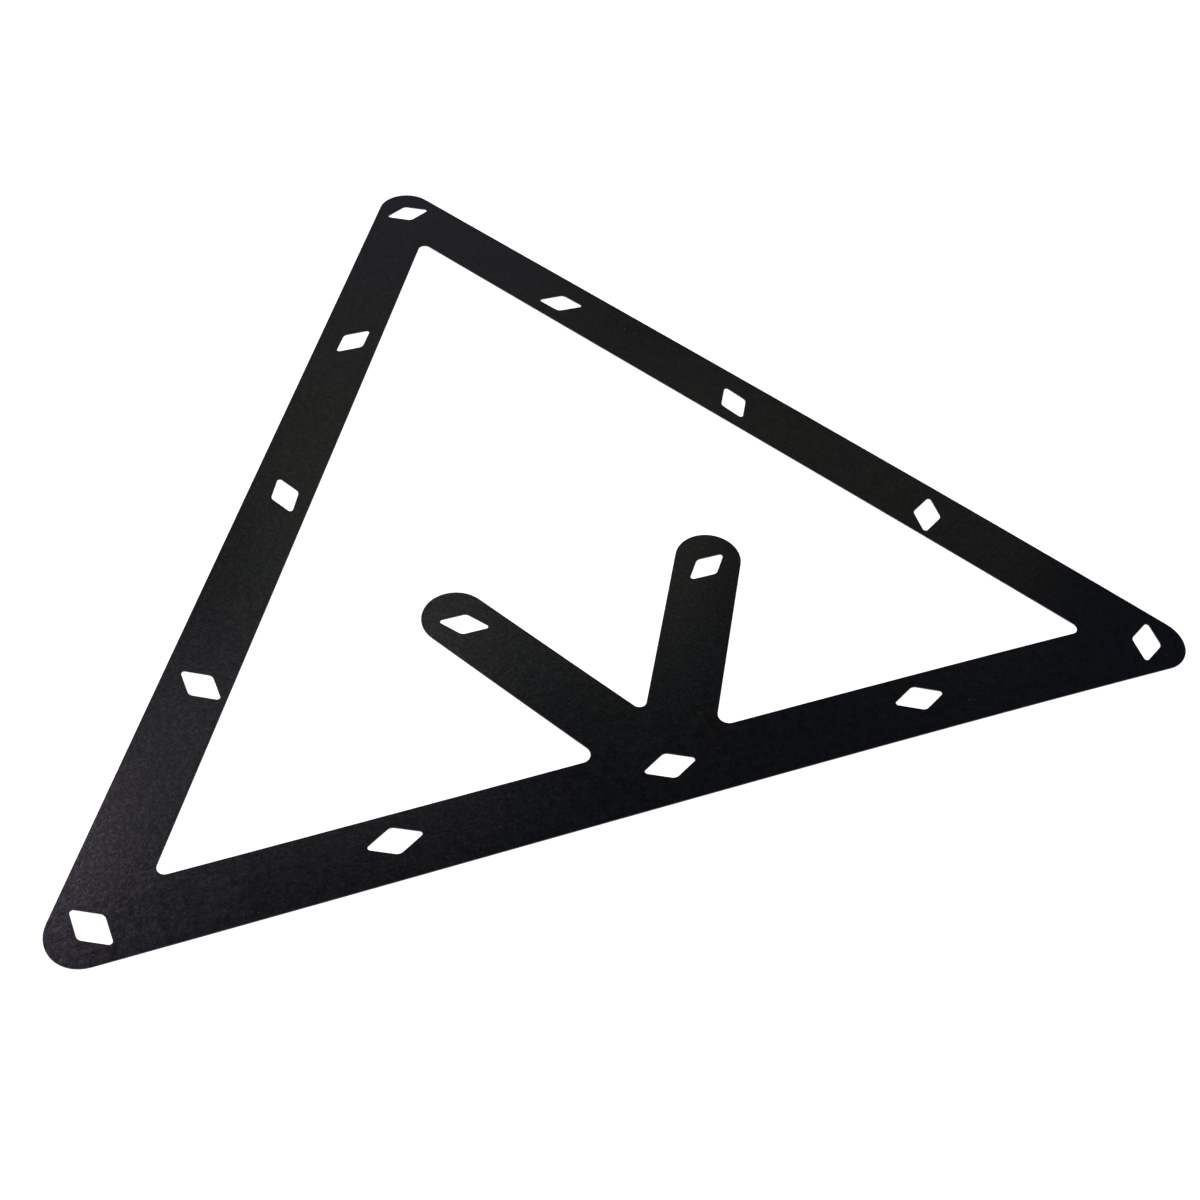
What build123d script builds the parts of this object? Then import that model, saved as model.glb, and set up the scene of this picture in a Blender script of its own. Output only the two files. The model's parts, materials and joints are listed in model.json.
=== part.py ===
from build123d import *
from math import cos, radians, sin, sqrt
import os

# A racking template for pool balls: one thin sheet of plastic film, cut with a die.
# It lies flat on the table's cloth, and a ball settles in each hole, touching its neighbours.
# The whole sheet is one piece, so it is one solid with no joint.
#
# Units are millimetres. The origin is under the middle of the sheet's outline, on its underside.
# +X runs along the base strip, +Y from the base strip towards the apex, and +Z is up.

BALL = 57.15           # a pool ball's diameter: touching balls stand this far apart
ROWS = 5               # rows of balls, from the base strip's row to the apex ball
FILM = 0.25            # thickness of the film

STRIP = 15.0           # width of the three strips and the two arms
STRIP_OUTSET = 0.6     # from the outer balls' centres out to the strips' centre lines
WINDOW_CORNER = 1.7    # radius in the three corners of the window between the strips

ARM_ANGLE = 60         # degrees between each arm and the base strip
ARM_PAST_BALL = 2.5    # from an arm's ball centre on to the centre of its round tip
ARM_FOOT = 2.2         # radius where an arm's outer side meets the base strip
ARM_CROTCH = 1.6       # radius between the two arms

HOLE_LENGTH = 12.2     # a rhombic hole's long diagonal, between its sharp corners
HOLE_WIDTH = 6.6       # its short diagonal
ARM_HOLE_LENGTH = 12   # the same two sizes of an arm's hole, which is a little slimmer
ARM_HOLE_WIDTH = 5.9
HOLE_TIP = 0.6         # radius at the ends of the long diagonal
HOLE_SIDE = 1.6        # radius at the ends of the short diagonal
BASE_INSET = 0.8       # holes between the base strip's ends stand this far in towards the apex
SIDE_INSET = 0.5       # holes between a side strip's ends stand this far in, along the base's line

# Degrees from +X to a hole's long diagonal, by the row and place of its ball, for the left half
# and the middle. The right half mirrors them, and the middle ball of the rack has no hole.
HOLE_TURNS = {
    (0, 0): 124,
    (0, 1): 1,
    (0, 2): 0,
    (1, 0): 123,
    (1, 1): 154,
    (2, 0): 92,
    (3, 0): 30,
    (4, 0): 0,
}

ROW_PITCH = BALL * sqrt(3) / 2
APEX = (ROWS - 1) * ROW_PITCH
HALF_BASE = (ROWS - 1) * BALL / 2
EDGE = STRIP_OUTSET + STRIP / 2                      # from an outer ball's centre to the edge
TIP_RISE = 2 * STRIP_OUTSET + STRIP / 2              # from the apex ball's centre to the edge
MIDDLE_Y = (APEX + TIP_RISE - EDGE) / 2              # the outline's middle, above the base row


def triangle(inset):
    """The triangle through the outer balls' centres, with its sides moved in by inset."""
    half = HALF_BASE - inset * sqrt(3)
    return Polygon((-half, inset), (half, inset), (0, APEX - 2 * inset), align=None)


def arm(side):
    """One arm, from the middle of the base strip to its round tip: side is -1 or 1."""
    reach = BALL + ARM_PAST_BALL
    tip = (side * reach * cos(radians(ARM_ANGLE)), reach * sin(radians(ARM_ANGLE)))
    middle = (tip[0] / 2, tip[1] / 2)
    return SlotCenterPoint(middle, tip, STRIP)


def window():
    """The opening between the strips, with the two arms standing up into it."""
    inner = triangle(STRIP / 2 - STRIP_OUTSET)
    inner = fillet(inner.vertices(), WINDOW_CORNER)
    opening = inner - arm(-1) - arm(1)
    crotch = opening.vertices().sort_by_distance((0, STRIP))[0]
    opening = fillet(crotch, ARM_CROTCH)
    feet = opening.vertices().group_by(Axis.Y)[0].sort_by_distance((0, 0))[:2]
    return fillet(feet, ARM_FOOT)


def hole(row, place):
    """The rhombic hole under one ball of the left half or the middle."""
    in_arm = (row, place) == (1, 1)
    tip = (ARM_HOLE_LENGTH if in_arm else HOLE_LENGTH) / 2
    flank = (ARM_HOLE_WIDTH if in_arm else HOLE_WIDTH) / 2
    rhombus = Polygon((-tip, 0), (0, -flank), (tip, 0), (0, flank))
    along = rhombus.vertices().sort_by(Axis.X)
    rhombus = fillet([along[0], along[-1]], HOLE_TIP)
    across = rhombus.vertices().sort_by_distance((0, 0))[:2]
    rhombus = fillet(across, HOLE_SIDE)
    x = place * BALL - (ROWS - 1 - row) * BALL / 2
    y = row * ROW_PITCH
    if row == 0 and place > 0:
        y += BASE_INSET
    if 0 < row < ROWS - 1 and place == 0:
        x += SIDE_INSET
    return Pos(x, y) * Rot(Z=HOLE_TURNS[row, place]) * rhombus


def ball_holes():
    """All the holes: the left half, the middle ones, and the left half's mirror images."""
    holes = []
    for row, place in HOLE_TURNS:
        cut = hole(row, place)
        holes.append(cut)
        if 2 * place + row != ROWS - 1:
            holes.append(mirror(cut, Plane.YZ))
    return holes


def rack_sheet():
    """The whole die-cut sheet, lying flat on z = 0."""
    outline = offset(triangle(-STRIP_OUTSET), STRIP / 2, kind=Kind.ARC)
    cut = outline - window() - ball_holes()
    return extrude(Pos(0, -MIDDLE_Y) * cut, FILM)


os.makedirs("parts", exist_ok=True)
sheet = rack_sheet()
sheet.label = "rack_sheet"
export_step(sheet, "parts/rack_sheet.step")
box = sheet.bounding_box()
print(f"rack_sheet: {box.size.X:.2f} x {box.size.Y:.2f} x {box.size.Z:.2f} mm, {sheet.volume:.0f} mm3")
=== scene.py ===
import json
import math
import bpy
import numpy as np
from mathutils import Matrix, Vector, kdtree, noise
from mathutils.geometry import delaunay_2d_cdt


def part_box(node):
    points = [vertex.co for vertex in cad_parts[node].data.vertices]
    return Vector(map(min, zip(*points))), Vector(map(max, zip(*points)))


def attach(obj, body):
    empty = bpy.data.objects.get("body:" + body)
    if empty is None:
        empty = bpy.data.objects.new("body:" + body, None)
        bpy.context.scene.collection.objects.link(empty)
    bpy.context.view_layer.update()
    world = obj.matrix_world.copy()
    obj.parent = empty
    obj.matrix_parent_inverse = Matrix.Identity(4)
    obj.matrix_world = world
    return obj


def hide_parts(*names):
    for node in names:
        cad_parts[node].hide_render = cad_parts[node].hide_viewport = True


# A racking template for pool balls: one thin sheet of black plastic film, cut with a die, lying on
# a pale floor. Everything is in metres, in the CAD model's frame.

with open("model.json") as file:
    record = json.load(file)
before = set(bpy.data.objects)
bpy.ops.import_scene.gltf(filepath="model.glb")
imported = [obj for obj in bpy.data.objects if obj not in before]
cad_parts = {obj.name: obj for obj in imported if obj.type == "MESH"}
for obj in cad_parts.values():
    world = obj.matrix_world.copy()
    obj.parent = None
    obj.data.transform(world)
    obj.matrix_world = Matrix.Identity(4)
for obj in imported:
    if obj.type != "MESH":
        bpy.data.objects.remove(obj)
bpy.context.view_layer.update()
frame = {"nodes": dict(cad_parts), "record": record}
sheet = frame["nodes"]["rack_sheet"]
low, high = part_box("rack_sheet")
MM = 0.001
FILM = high.z - low.z              # thickness of the film

# The film's cut edge, from the flat upper face round to the flat underside: how far in from the
# cut line and how far up each ring of points stands. The die rolls the upper edge over, shears a
# straight wall and leaves a fine burr along the bottom.
ROLL = 0.11 * MM
EDGE_PROFILE = [
    (ROLL, FILM),
    (0.5 * ROLL, FILM - 0.09 * ROLL),
    (0.18 * ROLL, FILM - 0.33 * ROLL),
    (0.0, FILM - 0.75 * ROLL),
    (0.0, 0.04 * MM),
    (-0.012 * MM, 0.01 * MM),
    (0.002 * MM, -0.006 * MM),
    (0.05 * MM, 0.0),
]
ROLL_UNEVEN = 0.35                 # share by which the rolled edge varies along the cut
ROLL_PATCH = 4 * MM                # and the length over which it does
EDGE_STEP = 1.5 * MM               # spacing of points along straight cuts
FACE_STEP = 2.0 * MM               # spacing of points across the faces
CUT_CLEARANCE = 0.55 * FACE_STEP   # how far those points stay from the cuts
SLIVER = 1e-4 * MM * MM            # a smaller triangle only joins points of one straight cut

# How the sheet lies. It was stored rolled, so the middle of its base strip and of its right
# strip stand off the floor, and only part of it touches. A bow is the height of a side's middle
# above its two corners, and a skew moves that bow towards the side's far end.
CORNER_LIFT = 0.24 * MM
BASE_BOW, BASE_SKEW = 0.66 * MM, 0.74 * MM
LEFT_BOW, LEFT_SKEW = -0.14 * MM, -0.15 * MM
RIGHT_BOW, RIGHT_SKEW = 0.42 * MM, -0.39 * MM
CENTRE_BOW = -0.54 * MM


# ---- The shape of the film ----

def seats():
    """The three corner balls' places: left, right and apex, from the record's mounts."""
    places = {m["name"]: Vector(m["pos_m"]).to_2d() for m in frame["record"]["mounts"]}
    return places["ball_seat_5_1"], places["ball_seat_5_5"], places["ball_seat_1_1"]


def lie(points):
    """How far the film's underside stands above the floor at each (x, y)."""
    left, right, apex = seats()
    c = (points[:, 1] - left.y) / (apex.y - left.y)
    b = (points[:, 0] - left.x - c * (apex.x - left.x)) / (right.x - left.x)
    a = 1 - b - c
    base = 4 * a * b * (BASE_BOW + BASE_SKEW * (b - a))
    left_side = 4 * a * c * (LEFT_BOW + LEFT_SKEW * (c - a))
    right_side = 4 * b * c * (RIGHT_BOW + RIGHT_SKEW * (c - b))
    centre = 27 * a * b * c * CENTRE_BOW
    return CORNER_LIFT + base + left_side + right_side + centre


def cut_lines(mesh):
    """The closed lines that bound the sheet's upper face, with the film to the left of each."""
    spot = [tuple(round(v, 8) for v in vertex.co.xy) for vertex in mesh.vertices]
    after = {}
    for face in mesh.polygons:
        if face.normal.z > 0.9:
            corners = [spot[v] for v in face.vertices]
            for start, end in zip(corners, corners[1:] + corners[:1]):
                if after.get(end) and start in after[end]:
                    after[end].remove(start)
                else:
                    after.setdefault(start, []).append(end)
    lines = []
    starts = [point for point, ends in after.items() if ends]
    while starts:
        point = starts[0]
        line = []
        while after.get(point):
            line.append(point)
            point = after[point].pop()
        lines.append(np.array(line))
        starts = [point for point, ends in after.items() if ends]
    return lines


def spaced(line, step):
    """The closed line with points added along any run longer than step."""
    points = []
    for start, end in zip(line, np.roll(line, -1, axis=0)):
        parts = max(1, math.ceil(np.linalg.norm(end - start) / step))
        points += [start + (end - start) * i / parts for i in range(parts)]
    return np.array(points)


def inward(line):
    """The unit direction from each point of a closed line into the film, square to the cut."""
    ahead = np.roll(line, -1, axis=0) - line
    ahead /= np.linalg.norm(ahead, axis=1, keepdims=True)
    along = ahead + np.roll(ahead, 1, axis=0)
    along /= np.linalg.norm(along, axis=1, keepdims=True)
    return np.stack([-along[:, 1], along[:, 0]], axis=1)


def within(points, lines):
    """Which points lie on the film: those with an odd number of cuts to their right."""
    inside = np.zeros(len(points), bool)
    for line in lines:
        for (x0, y0), (x1, y1) in zip(line, np.roll(line, -1, axis=0)):
            if y0 != y1:
                level = (points[:, 1] >= y0) != (points[:, 1] >= y1)
                crossing = x0 + (points[:, 1] - y0) * (x1 - x0) / (y1 - y0)
                inside ^= level & (points[:, 0] < crossing)
    return inside


def grid(lines):
    """Points in a triangular grid all over the film, clear of its cuts. The outline comes first."""
    lowest, highest = lines[0].min(0), lines[0].max(0)
    rows = np.arange(lowest[1], highest[1], FACE_STEP * math.sqrt(3) / 2)
    xs = np.arange(lowest[0], highest[0], FACE_STEP)
    points = np.array([(x + FACE_STEP / 2 * (i % 2), y) for i, y in enumerate(rows) for x in xs])
    points = points[within(points, lines)]
    cuts = np.concatenate(lines)
    near = kdtree.KDTree(len(cuts))
    for i, (x, y) in enumerate(cuts):
        near.insert((x, y, 0), i)
    near.balance()
    return np.array([p for p in points if near.find((*p, 0))[2] > CUT_CLEARANCE])


def face_triangles(lines, fill):
    """Triangles over the film between its cut lines and the grid's points."""
    points = np.concatenate(lines + [fill])
    ring_edges = []
    start = 0
    for line in lines:
        count = len(line)
        ring_edges += [(start + i, start + (i + 1) % count) for i in range(count)]
        start += count
    in_mm = [Vector(p) for p in points / MM]
    _, _, faces, origins, _, _ = delaunay_2d_cdt(in_mm, ring_edges, [], 0, 1e-7)
    faces = np.array([[origins[v][0] for v in face] for face in faces])
    faces = faces[within(points[faces].mean(1), lines)]
    p, q, r = (points[faces[:, i]] for i in range(3))
    area = (q[:, 0] - p[:, 0]) * (r[:, 1] - p[:, 1]) - (q[:, 1] - p[:, 1]) * (r[:, 0] - p[:, 0])
    faces[area < 0] = faces[area < 0][:, ::-1]
    return faces[np.abs(area) > SLIVER]


def rolled(line):
    """How far the rolled edge reaches at each point of a cut, as a share of its usual reach."""
    reach = [noise.noise(Vector((x, y, 0)) / ROLL_PATCH) for x, y in line]
    return 1 + ROLL_UNEVEN * np.array(reach)


def rings(lines):
    """The points round every cut, one array for each row of the edge's profile."""
    cuts = np.concatenate(lines)
    ways = np.concatenate([inward(line) for line in lines])
    reach = np.concatenate([rolled(line) for line in lines])
    made = []
    for inset, height in EDGE_PROFILE:
        if height > FILM / 2:
            spot = cuts + ways * (inset * reach)[:, None]
            z = FILM - (FILM - height) * reach
        else:
            spot = cuts + ways * inset
            z = np.full(len(cuts), height)
        made.append(np.column_stack([spot, z]))
    return made


def film_points(lines, fill):
    """All the film's points: its rings, then those inside its upper face and its underside."""
    upper = np.column_stack([fill, np.full(len(fill), FILM)])
    lower = np.column_stack([fill, np.zeros(len(fill))])
    points = np.concatenate(rings(lines) + [upper, lower])
    points[:, 2] += lie(points[:, :2])
    return points


def flat_faces(lines, fill):
    """The triangles of the upper face and of the underside, by their numbers in film_points."""
    rim = sum(len(line) for line in lines)
    lowest_ring = (len(EDGE_PROFILE) - 1) * rim
    inside = len(EDGE_PROFILE) * rim
    top = face_triangles(lines, fill)
    over = np.where(top < rim, top, top - rim + inside)
    under = np.where(top < rim, top + lowest_ring, top - rim + inside + len(fill))
    return over.tolist() + under[:, ::-1].tolist()


def edge_faces(lines):
    """The quads of the cut edge, between each ring of points and the next one down."""
    rim = sum(len(line) for line in lines)
    faces = []
    start = 0
    for line in lines:
        count = len(line)
        for ring in range(len(EDGE_PROFILE) - 1):
            upper, lower = ring * rim + start, (ring + 1) * rim + start
            for i in range(count):
                j = (i + 1) % count
                faces.append([upper + j, upper + i, lower + i, lower + j])
        start += count
    return faces


def sharpen(mesh, lines):
    """Marks the edges sharp along the first and the last ring, where the faces begin."""
    rim = sum(len(line) for line in lines)
    ends = {0, len(EDGE_PROFILE) - 1}
    neighbours = {1} | {len(line) - 1 for line in lines}
    for edge in mesh.edges:
        a, b = edge.vertices
        ring = a // rim
        edge.use_edge_sharp = ring in ends and b // rim == ring and abs(a - b) in neighbours


def film_mesh():
    """The whole die-cut sheet as one closed mesh. Slot 0 is its faces and slot 1 its cut edge."""
    lines = sorted(cut_lines(sheet.data), key=lambda line: (-np.ptp(line[:, 0]), -len(line)))
    lines = [spaced(line, EDGE_STEP) for line in lines]
    fill = grid(lines)
    flat = flat_faces(lines, fill)
    cut = edge_faces(lines)
    mesh = bpy.data.meshes.new("rack_film")
    mesh.from_pydata(film_points(lines, fill).tolist(), [], flat + cut)
    mesh.polygons.foreach_set("use_smooth", [True] * len(mesh.polygons))
    mesh.polygons.foreach_set("material_index", [0] * len(flat) + [1] * len(cut))
    sharpen(mesh, lines)
    mesh.validate()
    mesh.update()
    return mesh


# ---- Materials ----

# How large each of the film's markings is. Haze and pits are the finest, and the tint drifts slowly
# between a cooler and a warmer black.
HAZE = 0.7 * MM
PITS, PIT_DEPTH = 0.9 * MM, 0.004 * MM
MOTTLE = 1.7 * MM
RUB, RUB_STRETCH = 14 * MM, (1, 9, 1)
TINT_DRIFT = 24 * MM
DUST_CELL = 4.5 * MM

COOL_DARK, COOL_LIGHT = (0.0026, 0.0036, 0.0056), (0.0062, 0.0080, 0.0112)
WARM_DARK, WARM_LIGHT = (0.0040, 0.0036, 0.0032), (0.0092, 0.0082, 0.0075)
DUST_COLOUR = (0.16, 0.15, 0.14)
SHEEN_LOW, SHEEN_HIGH = (0.5, 0.5, 0.5), (1.0, 1.0, 1.0)

# The cut edge: the die's fine marks, drawn out up the wall, over patches of paler, worn film.
DRAWN, DRAWN_STRETCH, DRAWN_DEPTH = 0.12 * MM, (1, 1, 0.2), 0.008 * MM
WORN_PATCH = 3 * MM
CUT_DARK, WORN_DARK, WORN_LIGHT = (0.03, 0.027, 0.025), (0.050, 0.043, 0.038), (0.095, 0.082, 0.071)


def material(name):
    """A new material with its node tree and its Principled shader."""
    made = bpy.data.materials.new(name)
    made.use_nodes = True
    return made, made.node_tree, made.node_tree.nodes["Principled BSDF"]


def object_place(tree, stretch=(1, 1, 1)):
    """The point's own place on the object, in metres, with its axes stretched."""
    place = tree.nodes.new("ShaderNodeTexCoord")
    mapping = tree.nodes.new("ShaderNodeMapping")
    mapping.inputs["Scale"].default_value = stretch
    tree.links.new(place.outputs["Object"], mapping.inputs["Vector"])
    return mapping.outputs["Vector"]


def cloud(tree, place, size, detail=2.0, roughness=0.5):
    """Noise from 0 to 1 whose patches are about size metres across."""
    node = tree.nodes.new("ShaderNodeTexNoise")
    node.inputs["Scale"].default_value = 1 / size
    node.inputs["Detail"].default_value = detail
    node.inputs["Roughness"].default_value = roughness
    tree.links.new(place, node.inputs["Vector"])
    return node.outputs["Fac"]


def remap(tree, value, low_in, high_in, low_out, high_out):
    """value moved from one range to another, and held inside it."""
    node = tree.nodes.new("ShaderNodeMapRange")
    for name, number in zip(("From Min", "From Max", "To Min", "To Max"),
                            (low_in, high_in, low_out, high_out)):
        node.inputs[name].default_value = number
    tree.links.new(value, node.inputs["Value"])
    return node.outputs["Result"]


def mix(tree, share, colour_a, colour_b):
    """colour_a where share is 0 and colour_b where it is 1."""
    node = tree.nodes.new("ShaderNodeMix")
    node.data_type = "RGBA"
    tree.links.new(share, node.inputs["Factor"])
    for socket, colour in ((node.inputs["A"], colour_a), (node.inputs["B"], colour_b)):
        if isinstance(colour, tuple):
            socket.default_value = (*colour, 1)
        else:
            tree.links.new(colour, socket)
    return node.outputs["Result"]


def calculate(tree, operation, first, second):
    """One sum on a value, with a number or another value."""
    node = tree.nodes.new("ShaderNodeMath")
    node.operation = operation
    tree.links.new(first, node.inputs[0])
    if isinstance(second, (int, float)):
        node.inputs[1].default_value = second
    else:
        tree.links.new(second, node.inputs[1])
    return node.outputs["Value"]


def bump(tree, height, distance):
    """The normal of a surface that stands up by distance, in metres, where height is 1."""
    node = tree.nodes.new("ShaderNodeBump")
    node.inputs["Strength"].default_value = 1.0
    node.inputs["Distance"].default_value = distance
    tree.links.new(height, node.inputs["Height"])
    return node.outputs["Normal"]


def dust_specks(tree, place):
    """1 on a few specks of dust, and 0 elsewhere."""
    cells = tree.nodes.new("ShaderNodeTexVoronoi")
    cells.inputs["Scale"].default_value = 1 / DUST_CELL
    tree.links.new(place, cells.inputs["Vector"])
    pick = tree.nodes.new("ShaderNodeSeparateColor")
    tree.links.new(cells.outputs["Color"], pick.inputs["Color"])
    chosen = remap(tree, pick.outputs["Red"], 0.86, 0.88, 0, 1)
    speck = remap(tree, cells.outputs["Distance"], 0.020, 0.045, 1, 0)
    return calculate(tree, "MULTIPLY", chosen, speck)


def film_face():
    """Satin black film: finely hazed and pitted, with faint rub marks and a few dust specks."""
    made, tree, shader = material("black_film_face")
    place = object_place(tree)
    haze = cloud(tree, place, HAZE, 2.0, 0.9)
    pits = cloud(tree, place, PITS, 3.0, 0.7)
    mottle = cloud(tree, place, MOTTLE, 3.0, 0.6)
    rub = cloud(tree, object_place(tree, RUB_STRETCH), RUB, 4.0, 0.65)
    tint = remap(tree, cloud(tree, place, TINT_DRIFT, 6.0, 0.75), 0.38, 0.62, 0, 1)
    dust = dust_specks(tree, place)

    dark = mix(tree, tint, COOL_DARK, WARM_DARK)
    light = mix(tree, tint, COOL_LIGHT, WARM_LIGHT)
    body = mix(tree, remap(tree, mottle, 0.32, 0.68, 0, 1), dark, light)
    tree.links.new(mix(tree, dust, body, DUST_COLOUR), shader.inputs["Base Color"])

    rough = remap(tree, mottle, 0.3, 0.7, 0.13, 0.19)
    rough = calculate(tree, "ADD", rough, remap(tree, rub, 0.52, 0.75, 0.0, 0.08))
    rough = calculate(tree, "ADD", rough, calculate(tree, "MULTIPLY", dust, 0.4))
    tree.links.new(rough, shader.inputs["Roughness"])

    sheen = mix(tree, remap(tree, haze, 0.46, 0.64, 0, 1), SHEEN_LOW, SHEEN_HIGH)
    tree.links.new(sheen, shader.inputs["Specular Tint"])
    shader.inputs["Specular IOR Level"].default_value = 0.47
    relief = bump(tree, remap(tree, pits, 0.36, 0.50, 0, 1), PIT_DEPTH)
    tree.links.new(relief, shader.inputs["Normal"])
    return made


def cut_edge():
    """The cut through the film: paler and rougher than its faces, drawn by the die."""
    made, tree, shader = material("black_film_cut")
    drawn = cloud(tree, object_place(tree, DRAWN_STRETCH), DRAWN, 3.0, 0.6)
    patches = cloud(tree, object_place(tree), WORN_PATCH, 2.0)
    worn = mix(tree, remap(tree, patches, 0.35, 0.65, 0, 1), WORN_DARK, WORN_LIGHT)
    colour = mix(tree, remap(tree, drawn, 0.3, 0.7, 0, 0.5), worn, CUT_DARK)
    tree.links.new(colour, shader.inputs["Base Color"])
    tree.links.new(remap(tree, drawn, 0.3, 0.7, 0.48, 0.68), shader.inputs["Roughness"])
    shader.inputs["Specular IOR Level"].default_value = 0.45
    tree.links.new(bump(tree, drawn, DRAWN_DEPTH), shader.inputs["Normal"])
    return made


# ---- The studio ----

FLOOR_REACH = 6.0
FLOOR_GAP = 0.02 * MM              # from the origin's height down to the floor
PANEL_DISTANCE = 1.5               # from the origin to each soft box round the film
KEY_PLACE, KEY_SIZE = (0.35, -1.1, 1.45), (1.7, 1.5)
ROOM_COLOUR, ROOM_STRENGTH = (0.62, 0.76, 0.95), 0.125

EYE = (-0.09097, -0.25820, 0.25654)
EYE_TARGET = (0.00213, -0.05170, 0)
EYE_ROLL = 5.47                    # degrees
SENSOR, LENS = 36, 46.4


def facing(location, target):
    """The rotation that points -Z from location to target."""
    return (Vector(target) - Vector(location)).to_track_quat("-Z", "Y")


def softbox(name, location, target, size, radiance, colour=(1, 1, 1)):
    """A soft rectangular light of that radiance. The camera doesn't see the lamp itself."""
    data = bpy.data.lights.new(name, "AREA")
    data.shape = "RECTANGLE"
    data.size, data.size_y = size
    data.energy = radiance * math.pi * size[0] * size[1]
    data.color = colour
    lamp = bpy.data.objects.new(name, data)
    lamp.location = location
    lamp.rotation_mode = "QUATERNION"
    lamp.rotation_quaternion = facing(location, target)
    lamp.visible_camera = False
    bpy.context.scene.collection.objects.link(lamp)


def pale_floor():
    """A plain pale floor, lit from within like a light table, so that it stays white."""
    mesh = bpy.data.meshes.new("floor")
    corners = [(-1, -1), (1, -1), (1, 1), (-1, 1)]
    corners = [(x * FLOOR_REACH, y * FLOOR_REACH, 0) for x, y in corners]
    mesh.from_pydata(corners, [], [(0, 1, 2, 3)])
    floor = bpy.data.objects.new("floor", mesh)
    floor.location.z = -FLOOR_GAP
    made, tree, shader = material("pale_floor")
    shader.inputs["Base Color"].default_value = (0.9, 0.9, 0.9, 1)
    shader.inputs["Roughness"].default_value = 0.9
    shader.inputs["Specular IOR Level"].default_value = 0.0
    shader.inputs["Emission Color"].default_value = (1, 1, 1, 1)
    shader.inputs["Emission Strength"].default_value = 1.0
    mesh.materials.append(made)
    bpy.context.scene.collection.objects.link(floor)


def surroundings():
    """A dim room round the object, behind a white background."""
    world = bpy.data.worlds.new("studio")
    world.use_nodes = True
    bpy.context.scene.world = world
    tree = world.node_tree
    room = tree.nodes["Background"]
    room.inputs["Color"].default_value = (*ROOM_COLOUR, 1)
    room.inputs["Strength"].default_value = ROOM_STRENGTH
    white = tree.nodes.new("ShaderNodeBackground")
    white.inputs["Strength"].default_value = 1.0
    white.inputs["Color"].default_value = (1, 1, 1, 1)
    ray = tree.nodes.new("ShaderNodeLightPath")
    either = tree.nodes.new("ShaderNodeMixShader")
    tree.links.new(ray.outputs["Is Camera Ray"], either.inputs["Fac"])
    tree.links.new(room.outputs["Background"], either.inputs[1])
    tree.links.new(white.outputs["Background"], either.inputs[2])
    tree.links.new(either.outputs["Shader"], tree.nodes["World Output"].inputs["Surface"])


def panel(name, azimuth, elevation, wide, high, radiance, colour):
    """A soft box above and behind the film, placed and sized in degrees, azimuth from +Y to +X."""
    turn, rise = math.radians(azimuth), math.radians(elevation)
    flat = PANEL_DISTANCE * math.cos(rise)
    place = (flat * math.sin(turn), flat * math.cos(turn), PANEL_DISTANCE * math.sin(rise))
    size = [2 * PANEL_DISTANCE * math.tan(math.radians(angle / 2)) for angle in (wide, high)]
    softbox(name, place, (0, 0, 0), size, radiance, colour)


def lights():
    """Soft boxes: a dim key behind the camera, and the ones that the film's sheen reflects.

    The left one lights the left corner, and the others shade the rest from strip to strip.
    """
    softbox("key", KEY_PLACE, (0, 0, 0), KEY_SIZE, 0.3)
    # Each with its azimuth, elevation, width and height in degrees, its radiance and its colour.
    panel("left", -38, 50, 27, 18, 4.8, (0.92, 0.76, 1.0))
    panel("back_left", -8, 55, 28, 8, 0.73, (1.0, 0.93, 0.96))
    panel("back", 17, 48, 19, 8, 0.45, (0.95, 1.0, 0.75))
    panel("back_right", 29, 43, 36, 7, 0.24, (1.0, 0.88, 0.51))
    panel("back_low", 10, 27, 21, 25, 0.18, (1.0, 0.91, 0.98))


def camera():
    """The camera at the photograph's angle: from the front left, a little under 50 degrees up."""
    data = bpy.data.cameras.new("camera")
    data.sensor_width = SENSOR
    data.lens = LENS
    data.clip_start = 0.01
    eye = bpy.data.objects.new("camera", data)
    eye.location = EYE
    eye.rotation_mode = "QUATERNION"
    roll = Matrix.Rotation(math.radians(EYE_ROLL), 3, "Z").to_quaternion()
    eye.rotation_quaternion = facing(EYE, EYE_TARGET) @ roll
    bpy.context.scene.collection.objects.link(eye)
    bpy.context.scene.camera = eye


def film():
    """The sheet as it shows, in place of its CAD solid."""
    mesh = film_mesh()
    piece = bpy.data.objects.new("rack_film", mesh)
    mesh.materials.append(film_face())
    mesh.materials.append(cut_edge())
    bpy.context.scene.collection.objects.link(piece)
    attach(piece, "root")
    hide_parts("rack_sheet")


film()
pale_floor()
surroundings()
lights()
camera()
bpy.context.scene.view_settings.view_transform = "Standard"
